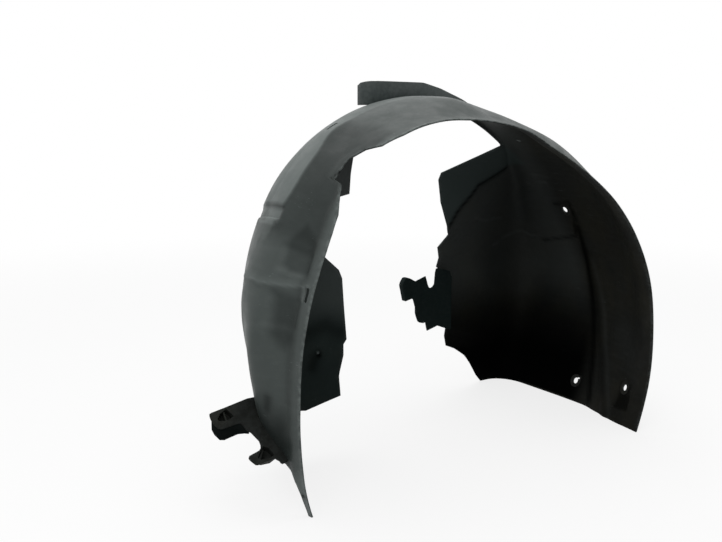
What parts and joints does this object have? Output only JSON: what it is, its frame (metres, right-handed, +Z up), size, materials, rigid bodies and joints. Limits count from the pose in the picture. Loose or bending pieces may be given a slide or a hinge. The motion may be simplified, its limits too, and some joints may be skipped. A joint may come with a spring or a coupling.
{
  "type": "wheel arch liner",
  "caption": "Moulded sheet liner that arches over a front wheel, with side walls, a top flap, folded brackets and fixing holes.",
  "frame": {"origin": "middle of the part's box, at the level of its feet", "axes": "+X towards the rear of the car, +Y inboard, +Z up; the wheel's axis runs along Y at x 15 mm, z 193 mm"},
  "size_m": [0.8364, 0.3956, 0.6028],
  "materials": {
    "liner_skin": "moulded black polypropylene with a fine satin grain"
  },
  "bodies": {
    "root": {"liner": "liner_skin"}
  },
  "joints": []
}
